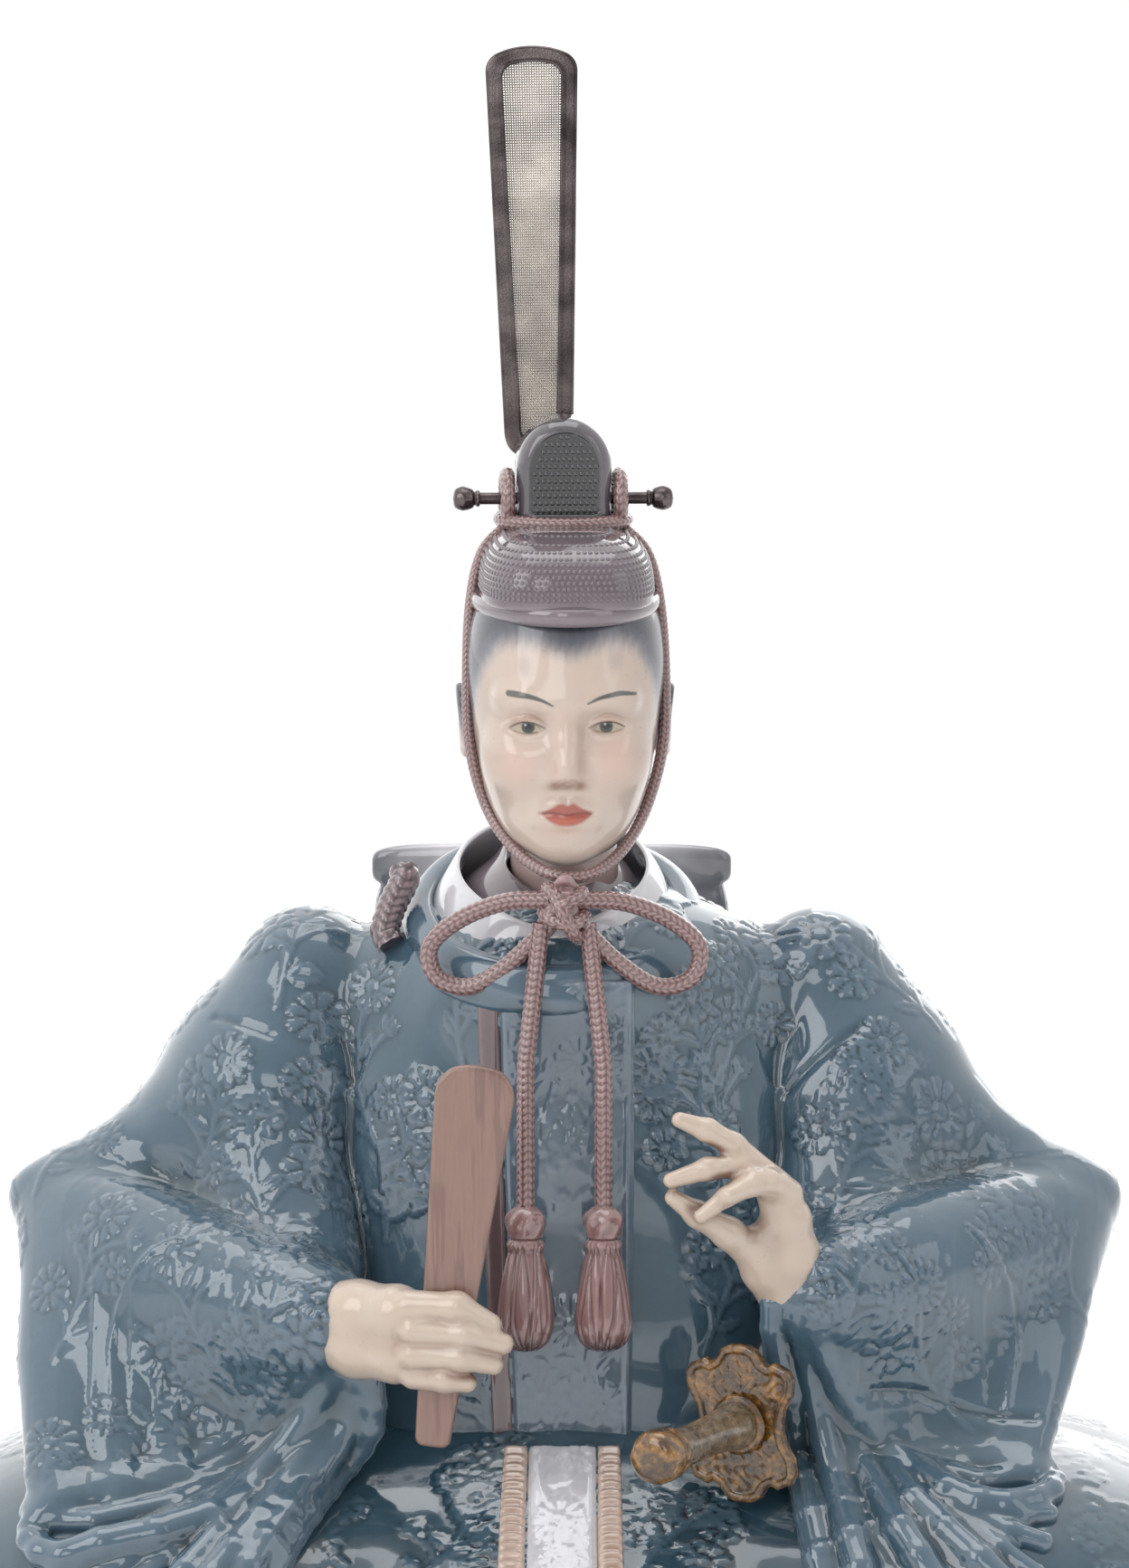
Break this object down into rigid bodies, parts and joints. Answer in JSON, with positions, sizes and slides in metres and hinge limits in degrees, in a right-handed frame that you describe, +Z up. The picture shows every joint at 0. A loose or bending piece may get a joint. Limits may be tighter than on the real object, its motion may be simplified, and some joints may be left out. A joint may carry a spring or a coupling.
{
  "type": "seated court doll",
  "caption": "Seated court doll of glazed porcelain in a spreading relief robe, with a tall lift-out metal tail on its cap, a baton and a sword in its hands.",
  "frame": {"origin": "middle of the robe's footprint, on the shelf", "axes": "+Z up; the doll faces -Y, and its left hand is on +X"},
  "size_m": [0.3708, 0.2464, 0.435],
  "materials": {
    "robe_glaze": "clear high gloss over blue-grey relief, deep teal in the recesses",
    "skin_glaze": "satin, pale warm skin, painted features",
    "cap_glaze": "gloss, mauve-grey",
    "smoke_glaze": "gloss, dark smoke",
    "cord_glaze": "gloss, dusky rose",
    "white_glaze": "gloss, pearl white",
    "sand_glaze": "gloss, sand",
    "brown_glaze": "gloss, dull brown",
    "baton_glaze": "satin, painted wood grain",
    "amber_glaze": "gloss, mottled amber and dark brown",
    "dark_metal": "dark, polished",
    "net_metal": "dull, woven wire"
  },
  "bodies": {
    "figure": {"robe_skirt": "robe_glaze", "torso": "robe_glaze", "right_sleeve": "robe_glaze", "left_sleeve": "robe_glaze", "right_cuff": "robe_glaze", "left_cuff": "robe_glaze", "right_drape": "robe_glaze", "left_drape": "robe_glaze", "collar": "robe_glaze", "front_panel": "robe_glaze", "head": "skin_glaze", "neck": "skin_glaze", "right_hand": "skin_glaze", "left_hand": "skin_glaze", "cap_crown": "cap_glaze", "cap_brim": "cap_glaze", "grey_inner_collar": "cap_glaze", "cap_comb": "smoke_glaze", "collar_button": "smoke_glaze", "cap_cord": "cord_glaze", "right_cord_loop": "cord_glaze", "left_cord_loop": "cord_glaze", "chin_cord": "cord_glaze", "bow_knot": "cord_glaze", "right_bow_loop": "cord_glaze", "left_bow_loop": "cord_glaze", "right_hanging_cord": "cord_glaze", "left_hanging_cord": "cord_glaze", "right_cord_bead": "cord_glaze", "left_cord_bead": "cord_glaze", "right_tassel": "cord_glaze", "left_tassel": "cord_glaze", "tail_socket": "cord_glaze", "white_inner_collar": "white_glaze", "sash": "white_glaze", "folded_train": "white_glaze", "right_sash_border": "sand_glaze", "left_sash_border": "sand_glaze", "front_lining": "brown_glaze"},
    "tail": {"tail_frame": "dark_metal", "tail_net": "net_metal"},
    "hairpin": {"pin_rod": "dark_metal", "right_pin_ball": "dark_metal", "left_pin_ball": "dark_metal"},
    "baton": {"baton": "baton_glaze"},
    "sword": {"sword_guard": "amber_glaze", "sword_washer": "amber_glaze", "sword_hilt": "amber_glaze", "sword_pommel": "amber_glaze", "sword_tang": "dark_metal"}
  },
  "joints": [
    {"name": "tail_lift", "type": "slide", "parent": "figure", "child": "tail", "axis": [-0.02, 0, 0.9998], "range_m": [0, 0.03]},
    {"name": "hairpin_turn", "type": "hinge", "parent": "figure", "child": "hairpin", "pos_m": [-0.00034, -0.00797, 0.31904], "axis": [0.9982, 0.06, 0], "continuous": true},
    {"name": "baton_draw", "type": "slide", "parent": "figure", "child": "baton", "axis": [0.1207, -0.0496, 0.9914], "range_m": [0, 0.06]},
    {"name": "sword_draw", "type": "slide", "parent": "figure", "child": "sword", "axis": [-0.5214, -0.8504, -0.0699], "range_m": [0, 0.03]}
  ]
}
